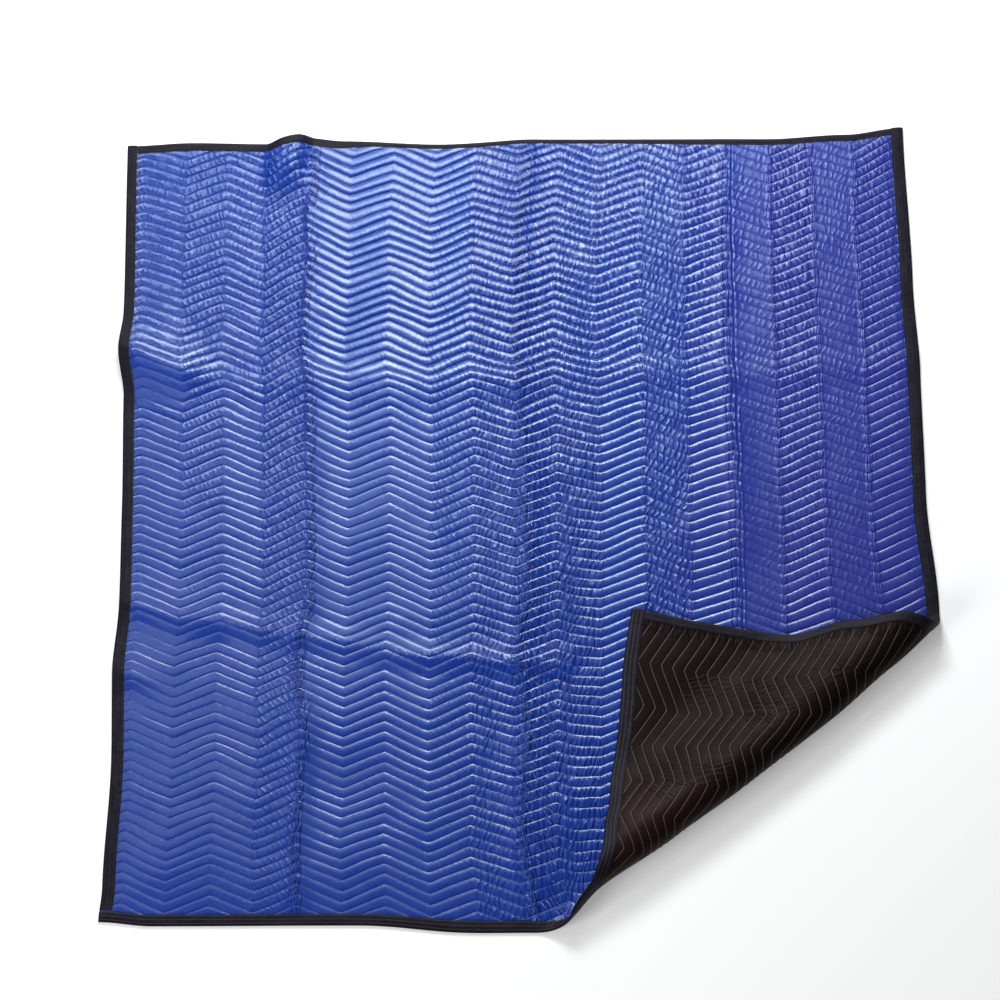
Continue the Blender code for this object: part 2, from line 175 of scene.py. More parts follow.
# A channel's two sides, from straight (1) to round (2).
LOWER_BEND = 1.5
UPPER_BEND = 1.10
EARLY_BEND = 0.25  # added to the upper side's where the crest is EARLY_RANGE or more below EARLY_CREST
EARLY_CREST, EARLY_RANGE = 0.55, 0.20
ROUND_SHARE = 0.9  # a channel's height, as a share of what its upper side's slope gives
FLAT_SIDE = 0.0018  # a flat channel reaches its height this far from its line
FLAT_BEND = 1.5
FLAT_LOFT = 0.0006  # how high the face's channels stand as flat ones, under their round form
UNEVEN = 0.30  # how much the channels' heights differ
UNEVEN_SIZE = 0.16  # over this length
UNEVEN_SEED = 21
PUCKERS_TAKE = 0.10  # the share of a channel's height that puckers take
CALM_TAKES = 0.85  # and that a smooth hollow takes
BACK_STEEP = 0.05
BACK_FLAT_LOFT = 0.0004
BACK_PADDING = 0.0010  # how much thicker the back is where it lies on the floor
BACK_TURNS = 0.04  # it changes from that to its quilting over this distance

# The tape's section from its inner edge on the face to its inner edge on the back. Columns: distance in from
# the cloth's edge as a share of the tape's width, height over the middle plane as a share of MIDDLE.
TAPE_SECTION = (
    (1.0, 0.50), (0.985, 0.92), (0.94, 1.0), (0.88, 0.93), (0.80, 1.04), (0.60, 1.12), (0.40, 1.14),
    (0.22, 1.08), (0.08, 0.94), (0.0, 0.74), (-0.05, 0.40), (-0.057, 0.0), (-0.05, -0.40), (0.0, -0.74),
    (0.08, -0.94), (0.22, -1.0), (0.50, -1.0), (0.80, -1.0), (0.94, -0.95), (0.985, -0.90), (1.0, -0.50),
)
TAPE_STEP = 0.006
TAPE_OUT = 0.0017  # how far a tape's end stands out past the cloth's edge
SIDE_TAPES_START = 0.028  # the side tapes start this far in from the bottom edge, under its tape
TOP_TAPE_INSET = 0.022  # the top tape ends this far in from the sides
TOP_TAPE_ABOVE, BOTTOM_TAPE_ABOVE = -0.0002, 0.0003  # added to their heights on the face
TAPE_BULGE = 0.10  # how uneven a tape's two flats are
TAPE_BULGE_SIZE = 0.045
TAPE_BULGE_SEED = 11
TAPE_FLATS = 0.95  # a tape is on its flats beyond this height, as a share of MIDDLE
BACK_WIDTHS = {"left": 0.030, "right": 0.020, "top": 0.030, "bottom": 0.030}
# How wide the tape shows on the face. Columns: place along the edge, width.
TAPE_WIDTHS = {
    "left": ((-1.015, 0.027), (-0.60, 0.026), (0.30, 0.024), (1.015, 0.021)),
    "right": ((-1.015, 0.027), (1.015, 0.026)),
    "top": ((-0.915, 0.021), (-0.45, 0.021), (-0.30, 0.012), (0.20, 0.011), (0.50, 0.015), (0.915, 0.017)),
    "bottom": ((-0.915, 0.024), (0.00, 0.024), (0.25, 0.028), (0.915, 0.028)),
}
MARGIN = 0.032  # a sheet has a column of points this far in from its sides
PRESSED_RAMP = 0.012  # the cloth swells over this distance from the tape
PRESSED_START = 0.3  # and is this share of the way at the tape itself

# The sheets' grids.
PHASES = (0.0, 0.06, 0.18, 0.40, 0.66, 0.82, 0.94)  # the rows, from one stitch line to the next
COLUMNS_TO_A_RUN = 8
CLOSE = 1e-6

# The cloths' fine relief and sewing. Spans across or along the blanket are (from, to).
TURN = 2 * math.pi
WEAVE_STEP, WEAVE_HEIGHT = 0.0014, 0.00003
PUCKER_STEP = 0.0115  # from one pucker to the next
PUCKER_LEAN = 0.30  # how a pucker leans where the lines fall
PUCKER_SWAY = -0.75  # and what is added where they rise
PUCKER_SIDE = 0.0045  # it reaches its height this far from its line
STREAKS_GROW, STREAKS_EASE = (-0.14, -0.06), (0.20, 0.30)  # spans across over which the streaks change
WRINKLES_EASE, WRINKLES_GROW = (-0.50, -0.35), (0.0, 0.5)  # spans across and along
PLEATS = 0.500  # where narrow pleats run along the blanket
PLEAT_STEP, PLEAT_HEIGHT = 0.0100, 0.0017
PLEATS_FADE = (0.012, 0.022)  # they die away over these distances from there
RIPPLE_HEIGHT = 0.0011
TUCK_HEIGHT = 0.0015
TUCKS_FADE = (0.002, 0.009)  # the tucks die away over these distances from a turn
TUCKS_GROW = (-0.15, 0.15)  # span across
HEM_SPAN = (WIDTH / 2 - 0.052, WIDTH / 2 - 0.030)  # the hem's gathers grow over this span across
GROOVE_SIDE = (0.0002, 0.0022)  # a groove rises over these distances from its line
SHALLOW_ACROSS, SHALLOW_ALONG = (0.36, 0.46), (-0.35, 0.25)  # spans over which the falling runs' grooves ease
SHALLOW_SHARE = 0.75
THREAD_SIDE = (0.0004, 0.0011)  # a thread ends over these distances from its line
STITCH_STEP = 0.0055
SHADE_SPAN = (0.40, 0.80)  # painted light and shade: the cloths turn from their light to their dark colour over this span across
SEAM_SHADE = 0.45  # painted shade in the seam: how light the cloth is painted where the tape presses it, as a share of its light colour

# The tape's relief and sewing.
RIB_STEP, RIB_HEIGHT = 0.0016, 0.00004
GATHER_HEIGHT = 0.0014
TAPE_STITCH_STEP = 0.0045
# Rows of stitches come in pairs, 2 * ROWS_FOLD apart, the first of them ROWS_FOLD past ROWS_FROM. A pair's two
# rows lie ROWS_FOLD - ROW_OFF to either side of its middle.
ROWS_FROM, ROWS_FOLD, ROW_OFF = 0.0175, 0.0045, 0.0040
ROW_SIDE = (0.0003, 0.0009)  # a row's thread ends over these distances

FLOOR_REACH = 9.0
FLOOR_LEVEL = -0.0004

# Columns: name, place, what it shines at, width and depth, power, colour.
LIGHTS = (
    ("Window", (-0.06, 1.90, 1.60), (0.0, 0.1, 0.0), (0.90, 0.42), 29, (0.88, 1.0, 1.0)),
    ("Key", (-2.0, 4.8, 3.9), (0.0, 0.0, 0.0), (1.2, 1.2), 95, (1.0, 1.0, 1.0)),
    ("Far window", (0.0, 4.8, 3.9), (0.0, 0.0, 0.0), (1.2, 1.2), 124, (1.0, 1.0, 1.0)),
    ("Ceiling", (-1.0, 1.9, 4.6), (-0.3, -0.3, 0.0), (2.6, 1.2), 26, (1.0, 1.0, 1.0)),
    ("Fill", (-3.5, -3.5, 2.2), (0.0, 0.0, 0.0), (2.0, 2.0), 145, (1.0, 1.0, 1.0)),
)
ROOM_COLOUR, ROOM_STRENGTH = (0.95, 0.97, 1.0, 1.0), 0.09

CAMERA_TILT = math.radians(28.0)
CAMERA_AWAY = 14.5
CAMERA_FOCUS = (-0.035, 0.058)  # on the flat blanket
CAMERA_LENS = 227.07
CAMERA_REACH = 100.0


def ease(share):
    """A share from 0 to 1 that starts and ends softly."""
    share = np.clip(share, 0.0, 1.0)
    return share * share * (3.0 - 2.0 * share)


def read(table, place):
    """A smooth value between a table's rows, at each place."""
    rows = np.array(table)
    after = np.clip(np.searchsorted(rows[:, 0], place, side="right"), 1, len(rows) - 1)
    start, end = rows[after - 1], rows[after]
    share = ease((place - start[..., 0]) / (end[..., 0] - start[..., 0]))
    return start[..., 1] + (end[..., 1] - start[..., 1]) * share


def lattice_noise(x, y, size, seed, cells=64):
    """Smooth noise between -1 and 1 whose bumps are about size apart. It repeats after so many cells."""
    values = np.random.default_rng(seed).uniform(-1.0, 1.0, (cells, cells))
    u, v = x / size + cells / 2, y / size + cells / 2
    i, j = np.floor(u).astype(int), np.floor(v).astype(int)
    s, t = ease(u - i), ease(v - j)
    i, j, i2, j2 = i % cells, j % cells, (i + 1) % cells, (j + 1) % cells
    low = values[i, j] * (1.0 - s) + values[i2, j] * s
    high = values[i, j2] * (1.0 - s) + values[i2, j2] * s
    return low * (1.0 - t) + high * t


def from_edge(x, y):
    """How far in a point of the flat blanket is from the nearest edge."""
    return np.minimum(WIDTH / 2 - np.abs(x), LENGTH / 2 - np.abs(y))


def drift(x, y):
    """How far the quilting wanders across and along, in the cloth's own plane."""
    away = ease(from_edge(x, y) / DRIFT_EDGE)
    return [distance * away * lattice_noise(x, y, size, seed) for distance, size, seed in DRIFTS]


def chevron(x):
    """The height of a stitch line at x, which swings between plus and minus half its rise."""
    phase = (x + WIDTH / 2 - FIRST_PEAK) / HALF_WAVE
    from_peak = np.abs((phase + 1.0) % 2.0 - 1.0)
    turned = np.sqrt((np.minimum(from_peak, 1.0 - from_peak)) ** 2 + ROUNDED**2)
    return WAVE_RISE * (0.5 - np.where(from_peak < 0.5, turned, 1.0 - turned))


def lines_at(x, y):
    """How many stitch lines lie below a point: a whole number on a line."""
    return (y + LENGTH / 2 - chevron(x)) / PITCH


def plan(x, y):
    """The place on the floor of a point of the flat blanket, before the corner is turned."""
    right = x / WIDTH + 0.5
    up = y / LENGTH + 0.5
    drawn = read(DRAWN, x) * ease((LENGTH / 2 - np.abs(y)) / DRAWN_EDGE)
    across = read(RIGHT_OUT, y) * right**RIGHT_POWER - read(LEFT_OUT, y) * (1.0 - right) - drawn
    along = read(TOP_OUT, x) * up - read(BOTTOM_OUT, x) * (1.0 - up)
    return x + across, y + along


def roll_section():
    """The roll's section: rows of run, distance out, height and direction, with one far off at each end."""
    rise = sum(length * math.sin(math.radians(turn)) for turn, length in ROLL if length)
    open_turn = next(turn for turn, length in ROLL if not length)
    closing = (FLAP_HEIGHT - MIDDLE - rise) / math.sin(math.radians(open_turn))
    lengths = [length or closing for _, length in ROLL]
    ends = np.cumsum([0.0] + lengths)
    middles = (ends[1:] + ends[:-1]) / 2
    run = np.linspace(0.0, ends[-1], SECTION_STEPS)
    turns = [0.0, *(turn for turn, _ in ROLL), 180.0]
    turn = np.radians(np.interp(run, [0.0, *middles, ends[-1]], turns))
    step = run[1]
    out = np.concatenate([[0.0], np.cumsum(np.cos((turn[1:] + turn[:-1]) / 2) * step)])
    height = MIDDLE + np.concatenate([[0.0], np.cumsum(np.sin((turn[1:] + turn[:-1]) / 2) * step)])
    height += (FLAP_HEIGHT - height[-1]) * ease(run / run[-1])
    far = WIDTH + LENGTH
    return (
        np.concatenate([[-far], run, [run[-1] + far]]),
        np.concatenate([[-far], out, [out[-1] - far]]),
        np.concatenate([[MIDDLE], height, [FLAP_HEIGHT]]),
        np.concatenate([[0.0], turn, [math.pi]]),
    )


RUN, OUT, HEIGHT, DIRECTION = roll_section()
ROLL_RUN = RUN[-2]
ROLL_DEPTH = OUT[1:-1].max() + MIDDLE


def past_roll_start(px, py):
    """How far a point in plan lies past the line where the roll leaves the floor."""
    return (px - FOLD_LOW[0]) * FOLD_OUT[0] + (py - FOLD_LOW[1]) * FOLD_OUT[1] + ROLL_DEPTH


def ridge(x, y, start, end, left, right, at_start=1.0, at_end=1.0, bend=2.0):
    """A soft ridge from start to end, with its heights there, and 0 past its half widths and its ends."""
    start, end = np.array(start), np.array(end)
    length = np.linalg.norm(end - start)
    way = (end - start) / length
    along = (x - start[0]) * way[0] + (y - start[1]) * way[1]
    off = (x - start[0]) * way[1] - (y - start[1]) * way[0]
    off = off + RIDGE_WANDER * lattice_noise(along, along * 0.0, RIDGE_SWING, RIDGE_SEED)
    ends = ease(along / RIDGE_END + 0.5) * ease((length - along) / RIDGE_END + 0.5)
    side = (np.abs(off) / np.where(off > 0.0, right, left)) ** bend
    return (at_start + (at_end - at_start) * along / length) * ends * np.maximum(0.0, 1.0 - side) ** 2


def lifts(x, y, run):
    """How far ridges and slack lift the cloth off the floor or off the cloth below it."""
    total = sum(ridge(x, y, start, end, left, right, low, high, bend)
                for start, end, low, high, left, right, _, bend in RIDGES)
    slack = sum(height * (1.0 + lattice_noise(x, y, size, seed)) for height, size, seed in SLACKS)
    clear = ease((np.maximum(-run, run - ROLL_RUN) - BARE) / BARE_END)
    return (total + slack * ease(from_edge(x, y) / SLACK_EDGE)) * clear


def lay(x, y, z):
    """Sets points of the flat blanket on the floor or over the roll, in the part's own frame."""
    px, py = plan(x, y)
    run = past_roll_start(px, py)
    along = (px - FOLD_LOW[0]) * FOLD_ALONG[0] + (py - FOLD_LOW[1]) * FOLD_ALONG[1]
    turn = np.interp(run, RUN, DIRECTION)
    out = np.interp(run, RUN, OUT) - np.sin(turn) * z
    height = np.interp(run, RUN, HEIGHT) + np.cos(turn) * z + lifts(x, y, run)
    fades = ease(1.0 - np.maximum(np.maximum(-run, run - ROLL_RUN), 0.0) / STRAY_FADES)
    out = out - ROLL_DEPTH + read(FOLD_STRAYS, x) * fades
    return np.stack([
        FOLD_LOW[0] + FOLD_ALONG[0] * along + FOLD_OUT[0] * out - ORIGIN[0],
        FOLD_LOW[1] + FOLD_ALONG[1] * along + FOLD_OUT[1] * out - ORIGIN[1],
        height,
    ], axis=-1)


def columns():
    """A sheet's columns: its edges, its pressed margins, each turn of the chevrons and some between."""
    step = HALF_WAVE / COLUMNS_TO_A_RUN
    first = FIRST_PEAK - WIDTH / 2 - HALF_WAVE
    inner = first + step * np.arange(math.ceil((WIDTH + HALF_WAVE) / step) + 1)
    inside = WIDTH / 2 - MARGIN
    inner = inner[np.abs(inner) < WIDTH / 2 - step / 2]
    keep = np.abs(np.abs(inner) - inside) > step / 3
    return np.sort(np.concatenate([inner[keep], [-WIDTH / 2, -inside, inside, WIDTH / 2]]))


def swelling(x, y, lines):
    """A round channel's height where its upper side slopes by 1, and a flat one's, from 0 to 1."""
    share = lines % 1.0
    low = read(LOW_CRESTS, y)
    crest = read(CRESTS, x) * (1.0 - low) + LOW_CREST * low
    side = np.where(share < crest, share / crest, (1.0 - share) / (1.0 - crest))
    upper_bend = UPPER_BEND + EARLY_BEND * ease((EARLY_CREST - crest) / EARLY_RANGE)
    bend = np.where(share < crest, LOWER_BEND, upper_bend)
    wide = (1.0 - (1.0 - side) ** bend) * (1.0 - crest) * PITCH * ROUND_SHARE
    near = np.minimum(share, 1.0 - share) * PITCH
    return wide, 1.0 - np.exp(-((near / FLAT_SIDE) ** FLAT_BEND))


def pressed(x, y):
    """0 under the tape, rising to 1 inside it."""
    inside = np.minimum.reduce([
        WIDTH / 2 + x - read(TAPE_WIDTHS["left"], y),
        WIDTH / 2 - x - read(TAPE_WIDTHS["right"], y),
        LENGTH / 2 + y - read(TAPE_WIDTHS["bottom"], x),
        LENGTH / 2 - y - read(TAPE_WIDTHS["top"], x),
    ])
    return ease(inside / PRESSED_RAMP + PRESSED_START)


def calm(x, y):
    """How smooth the face lies in the hollows beside its creases."""
    return np.maximum.reduce([
        share * ease(CALM_CORE - CALM_CORE * np.hypot(x - px, y - py) / radius)
        for px, py, radius, share in CALM
    ])


def puckers(x, y):
    """How puckered the face is, from the table of the chevron's runs."""
    place = (x + WIDTH / 2 - FIRST_PEAK) / HALF_WAVE + 1.0
    run = np.clip(np.floor(place).astype(int), 0, len(PUCKERS) - 1)
    levels = [np.interp(y, PUCKER_AT, row) for row in PUCKERS]
    return np.choose(run, levels) * (1.0 - calm(x, y))


def back_puckers(x, y):
    """How puckered the back is, from the table of its patches."""
    return sum(strength * ease(1.0 - np.hypot(x - px, y - py) / radius)
               for px, py, radius, strength in BACK_PATCHES)


def crumple(x, y):
    """How crumpled the cloth is: along the crests of the storage creases."""
    return sum(crumpled * ridge(x, y, start, end, CRUMPLED, CRUMPLED)
               for start, end, _, _, _, _, crumpled, _ in RIDGES)


def face_height(x, y, lines):
    """The face's height over the middle plane."""
    wide, level = swelling(x, y, lines)
    low = read(LOW_STEEPS, y)
    steep = STEEP * (read(STEEP_ACROSS, x) * (1.0 - low) + read(STEEP_LOW, x) * low) * read(STEEP_ALONG, y)
    uneven = 1.0 + UNEVEN * lattice_noise(x, np.floor(lines) * 1.0, UNEVEN_SIZE, UNEVEN_SEED)
    loft = (steep * wide + FLAT_LOFT * level) * uneven * (1.0 - PUCKERS_TAKE * puckers(x, y))
    loft = loft * (1.0 - CALM_TAKES * calm(x, y))
    return GAP / 2 + CLOTH + loft * pressed(x, y)


def back_height(x, y, lines):
    """The back's height over the middle plane: flat on the floor, and quilted where it is turned up."""
    wide, level = swelling(x, y, lines)
    px, py = plan(x, y)
    turned = ease(past_roll_start(px, py) / BACK_TURNS)
    loft = (BACK_STEEP * wide + BACK_FLAT_LOFT * level) * turned
    return -GAP / 2 - CLOTH - loft * pressed(x, y) - (1.0 - turned) * BACK_PADDING


def make_mesh(name, points, faces, values):
    """A smooth object from arrays. values holds point attributes, three numbers each, by name."""
    mesh = bpy.data.meshes.new(name)
    mesh.from_pydata(points, [], faces)
    for key, vectors in values.items():
        layer = mesh.attributes.new(key, "FLOAT_VECTOR", "POINT")
        layer.data.foreach_set("vector", np.ascontiguousarray(vectors, np.float32).ravel())
    mesh.shade_smooth()
    thing = bpy.data.objects.new(name, mesh)
    bpy.context.scene.collection.objects.link(thing)
    return thing


def grid_faces(keep, flip):
    """The quads of a grid of rows and columns whose cells are kept."""
    rows, cols = keep.shape[0] + 1, keep.shape[1] + 1
    index = np.arange(rows * cols).reshape(rows, cols)
    quads = np.stack([index[:-1, :-1], index[:-1, 1:], index[1:, 1:], index[1:, :-1]], axis=-1)[keep]
    return (quads[:, ::-1] if flip else quads).tolist()


def quilted_sheet(name, height_at, puckers_at, faces_up):
    """A cloth as a sheet whose rows follow its stitch lines."""
    spare = math.ceil(WAVE_RISE / PITCH)
    lines = (np.arange(-spare, LINES + spare + 1)[:, None] + np.array(PHASES)[None, :]).ravel()
    x, row = np.meshgrid(columns(), lines)
    y = np.clip(-LENGTH / 2 + row * PITCH + chevron(x), -LENGTH / 2, LENGTH / 2)
    keep = (y[1:, :-1] - y[:-1, :-1] > CLOSE) | (y[1:, 1:] - y[:-1, 1:] > CLOSE)
    row = lines_at(x, y)
    z = height_at(x, y, row)
    dx, dy = drift(x, y)
    values = {
        "flat": np.stack([x, y, row], axis=-1).reshape(-1, 3),
        "worn": np.stack([
            puckers_at(x, y),
            np.clip(crumple(x, y), 0.0, 2.0),
            pressed(x, y),
        ], axis=-1).reshape(-1, 3),
    }
    points = lay(x + dx, y + dy, z).reshape(-1, 3)
    thing = make_mesh(name, points, grid_faces(keep, not faces_up), values)
    shape = bmesh.new()
    shape.from_mesh(thing.data)
    bmesh.ops.remove_doubles(shape, verts=shape.verts[:], dist=CLOSE)
    bmesh.ops.delete(shape, geom=[vert for vert in shape.verts if not vert.link_faces], context="VERTS")
    shape.to_mesh(thing.data)
    shape.free()
    return thing


def binding(name, side, start, end, above=0.0):
    """One edge's tape, laid along its edge from start to end."""
    section = np.array(TAPE_SECTION)
    along = np.linspace(start, end, math.ceil((end - start) / TAPE_STEP) + 1)
    place, share = np.meshgrid(along, section[:, 0])
    level = np.meshgrid(along, section[:, 1])[1]
    across = np.meshgrid(along, np.linspace(0.0, 1.0, len(section)))[1]
    inward = share * np.where(level > 0.0, read(TAPE_WIDTHS[side], place), BACK_WIDTHS[side])
    seed = TAPE_BULGE_SEED + len(side)
    bulge = 1.0 + TAPE_BULGE * lattice_noise(place, share * 0.0, TAPE_BULGE_SIZE, seed)
    z = MIDDLE * level * np.where(np.abs(level) > TAPE_FLATS, bulge, 1.0) + above * (level > 0.0)
    half = {"left": -WIDTH / 2, "right": WIDTH / 2, "top": LENGTH / 2, "bottom": -LENGTH / 2}[side]
    edge = half - math.copysign(1.0, half) * inward
    x, y = (edge, place) if side in ("left", "right") else (place, edge)
    values = {"tape": np.stack([place, inward, across], axis=-1).reshape(-1, 3)}
    keep = np.ones((len(section) - 1, len(along) - 1), bool)
    flip = side in ("right", "bottom")
    return make_mesh(name, lay(x, y, z).reshape(-1, 3), grid_faces(keep, flip), values)


class Nodes:
    """Builds one material's nodes."""

    def __init__(self, name):
        self.material = bpy.data.materials.new(name)
        self.material.use_nodes = True
        self.tree = self.material.node_tree
        self.shader = self.tree.nodes["Principled BSDF"]

    def feed(self, slot, value):
        if isinstance(value, bpy.types.NodeSocket):
            self.tree.links.new(value, slot)
        else:
            slot.default_value = value

    def set(self, **sockets):
        for key, value in sockets.items():
            self.feed(self.shader.inputs[key.replace("_", " ")], value)

    def add(self, kind, *inputs, **settings):
        made = self.tree.nodes.new("ShaderNode" + kind)
        for key, value in settings.items():
            setattr(made, key, value)
        for slot, value in zip(made.inputs, inputs):
            self.feed(slot, value)
        return made

    def math(self, operation, a, b=0.0):
        return self.add("Math", a, b, operation=operation).outputs[0]

    def times(self, *values):
        result = values[0]
        for value in values[1:]:
            result = self.math("MULTIPLY", result, value)
        return result

    def plus(self, *values):
        result = values[0]
        for value in values[1:]:
            result = self.math("ADD", result, value)
        return result

    def less(self, value, share):
        """1 where value is 0, and less by share where it is 1."""
        return self.plus(1.0, self.times(value, -share))

    def split(self, attribute):
        """The three numbers of a point attribute."""
        vector = self.add("Attribute", attribute_name=attribute).outputs["Vector"]
        return self.add("SeparateXYZ", vector).outputs

    def smooth(self, value, low, high, to_low=0.0, to_high=1.0):
        """Goes from to_low to to_high as value goes from low to high, with a soft start and end."""
        ends = (low, high, to_low, to_high)
        return self.add("MapRange", value, *ends, interpolation_type="SMOOTHSTEP").outputs[0]

    def noise(self, x, y, z, detail=1.0, roughness=0.5):
        made = self.add("TexNoise")
        self.feed(made.inputs["Vector"], self.add("CombineXYZ", x, y, z).outputs[0])
        self.feed(made.inputs["Scale"], 1.0)
        self.feed(made.inputs["Detail"], detail)
        self.feed(made.inputs["Roughness"], roughness)
        return made.outputs[0]

    def grain(self, first, second, third, detail=1.0, roughness=0.5):
        """Noise at a place. first and second are each a coordinate and the size of the bumps along it."""
        sized = [self.times(place, 1 / size) for place, size in (first, second)]
        return self.noise(*sized, third, detail, roughness)

    def wave(self, place, step):
        """Swings between -1 and 1, once for each step."""
        return self.math("SINE", self.times(place, TURN / step))

    def half(self, wave):
        """A swing from 0 to 1, for one from -1 to 1."""
        return self.plus(0.5, self.times(wave, 0.5))

    def mix(self, share, a, b):
        made = self.add("Mix", share, data_type="RGBA")
        self.feed(made.inputs[6], a)
        self.feed(made.inputs[7], b)
        return made.outputs[2]

    def bump(self, *heights):
        """Raises the surface by the sum of the heights, in metres."""
        made = self.add("Bump")
        self.feed(made.inputs["Strength"], 1.0)
        self.feed(made.inputs["Distance"], 1.0)
        self.feed(made.inputs["Height"], self.plus(*heights))
        self.set(Normal=made.outputs[0])


class Quilted(Nodes):
    """The nodes of a quilted cloth, with its places and reliefs. Each relief is a height in metres."""

    def __init__(self, name):
        super().__init__(name)
        self.x, self.y, self.lines = self.split("flat")
        self.pucker, self.crumpled, self.loft = self.split("worn")
        self.near = self.times(self.math("PINGPONG", self.lines, 0.5), PITCH)  # to the nearest line
        self.half_waves = self.times(self.plus(self.x, WIDTH / 2 - FIRST_PEAK), 1 / HALF_WAVE)
        run = self.plus(self.math("FLOOR", self.half_waves), 4.0)
        self.rising = self.math("MODULO", run, 2.0)  # 1 where the lines rise to the right, 0 where they fall
        self.sewn_down = self.plus(0.25, self.times(self.loft, 0.75))  # less under the tape

    def puckers(self, height):
        """Small gathers across each channel, which lean with its run, and streaks that run over the lines."""
        number = self.math("FLOOR", self.lines)
        share = self.math("FRACT", self.lines)
        lean = self.plus(PUCKER_LEAN, self.times(self.rising, PUCKER_SWAY))
        beside = self.plus(self.x, self.times(lean, self.plus(share, -0.5), -PITCH))
        wander = self.noise(self.times(beside, 1 / 0.035), self.times(number, 3.7), self.times(share, 0.5))
        swing = self.plus(self.times(beside, 1 / PUCKER_STEP), self.times(wander, 2.2),
                          self.times(number, 0.37))
        grains = self.math("POWER", self.half(self.wave(swing, 1.0)), 3.0)
        strength = self.noise(self.times(beside, 1 / 0.020), self.times(number, 5.3), 2.0)
        grains = self.times(grains, self.smooth(strength, 0.30, 0.62, 0.2, 1.0))
        channel = self.smooth(self.near, 0.0, PUCKER_SIDE, 0.35, 1.0)
        streaks = self.smooth(self.grain((self.x, 0.0075), (self.y, 0.05), 3.7, 0.5), 0.35, 0.7)
        streaked = self.times(self.smooth(self.x, *STREAKS_GROW, 0.35, 0.6),
                              self.smooth(self.x, *STREAKS_EASE, 1.0, 0.8))
        both = self.plus(self.times(grains, channel), self.times(streaks, streaked))
        return self.times(both, self.pucker, self.loft, height)

    def crumples(self, height):
        """Short folds along the crests of the storage creases."""
        folds = self.grain((self.x, 0.007), (self.y, 0.020), 1.3, 1.5, 0.6)
        return self.times(self.smooth(folds, 0.3, 0.7), self.crumpled, height)

    def wrinkles(self, height):
        """Faint wrinkles, most at the top left."""
        wrinkles = self.noise(self.times(self.x, 1 / 0.030), self.times(self.lines, 1.9), 7.7)
        return self.times(self.smooth(wrinkles, 0.35, 0.65), self.smooth(self.x, *WRINKLES_EASE, 1.0, 0.15),
                          self.smooth(self.y, *WRINKLES_GROW, 0.2, 1.0), self.loft, height)

    def pleats(self):
        """Narrow pleats that run along the blanket at PLEATS."""
        column = self.smooth(self.math("ABSOLUTE", self.plus(self.x, -PLEATS)), *PLEATS_FADE, 1.0, 0.0)
        wander = self.noise(self.times(self.y, 1 / 0.09), 8.1, 1.7)
        swing = self.plus(self.times(self.x, TURN / PLEAT_STEP), self.times(wander, 6.0))
        broken = self.grain((self.x, 0.010), (self.y, 0.06), 2.4, 0.5)
        return self.times(self.half(self.math("SINE", swing)), column,
                          self.smooth(broken, 0.35, 0.55, 0.3, 1.0), self.loft, PLEAT_HEIGHT)

    def ripples(self):
        """A soft unevenness everywhere, and more of it where the cloth is puckered."""
        ripple = self.grain((self.x, 0.030), (self.y, 0.016), 9.1, 2.0, 0.55)
        return self.times(self.plus(ripple, -0.5), RIPPLE_HEIGHT, self.plus(0.20, self.pucker))

    def tucks(self):
        """Small tucks where the chevrons turn, most on the right."""
        from_turn = self.times(self.math("PINGPONG", self.half_waves, 0.5), HALF_WAVE)
        tucks = self.grain((self.x, 0.004), (self.y, 0.030), 6.1, 0.5)
        tucks = self.times(self.smooth(from_turn, *TUCKS_FADE, 1.0, 0.0), self.smooth(tucks, 0.3, 0.7),
                           TUCK_HEIGHT, self.smooth(self.x, *TUCKS_GROW, 0.15, 1.0))
        return self.times(tucks, self.loft)

    def hem(self, height):
        """Gathers beside the right edge's tape."""
        hem = self.grain((self.y, 0.0075), (self.x, 0.05), 5.5)
        return self.times(self.smooth(hem, 0.35, 0.65), self.smooth(self.x, *HEM_SPAN), height)

    def grooves(self, depth):
        """The stitch lines' grooves, which are shallow in the falling runs of the upper right."""
        eased = self.times(self.less(self.rising, 1.0), self.smooth(self.x, *SHALLOW_ACROSS),
                           self.smooth(self.y, *SHALLOW_ALONG))
        return self.times(self.smooth(self.near, *GROOVE_SIDE, 1.0, 0.0), self.sewn_down,
                          self.less(eased, SHALLOW_SHARE), -depth)

    def weave(self):
        return self.times(self.wave(self.x, WEAVE_STEP), self.wave(self.y, WEAVE_STEP), WEAVE_HEIGHT)

    def colour_and_shade(self, light, dark):
        """Painted light and shade: light, and dark towards the right in patches, with painted shade in the
        seam by the tape.
        """
        # Painted light and shade across the cloth: its light colour on the left, its dark one towards the
        # right, over a patchy edge.
        patchy_shade = self.grain((self.x, 0.28), (self.y, 0.40), 0.0, 3.0, 0.6)
        shade_share = self.smooth(self.plus(self.times(patchy_shade, 0.3), self.x), *SHADE_SPAN)
        # Painted shade in the seam, where the tape presses the cloth down.
        painted_seam_shade = tuple(SEAM_SHADE * part for part in light)
        colour = self.mix(shade_share, (*light, 1.0), (*dark, 1.0))
        return self.mix(self.smooth(self.loft, 0.15, 1.0), (*painted_seam_shade, 1.0), colour)

    def thread(self, dash):
        """1 on the thread of a stitch line, and dash between its stitches."""
        stitch = self.smooth(self.wave(self.x, STITCH_STEP), -0.6, 0.0, dash, 1.0)
        return self.times(self.smooth(self.near, *THREAD_SIDE, 1.0, 0.0), stitch, self.sewn_down)

    def cloth_roughness(self, roughness):
        """Patchy, and glossier at the far left and from the middle on, up to the right third."""
        worn = self.grain((self.x, 0.05), (self.y, 0.05), 4.0, 2.0)
        crisp = self.plus(
            self.smooth(self.x, -0.70, -0.50, -0.05, 0.0),
            self.smooth(self.x, -0.15, 0.15, 0.0, -0.08),
            self.smooth(self.x, 0.40, 0.60, 0.0, 0.08),
        )
        return self.plus(self.smooth(worn, 0.2, 0.8, roughness - 0.05, roughness + 0.06), crisp)


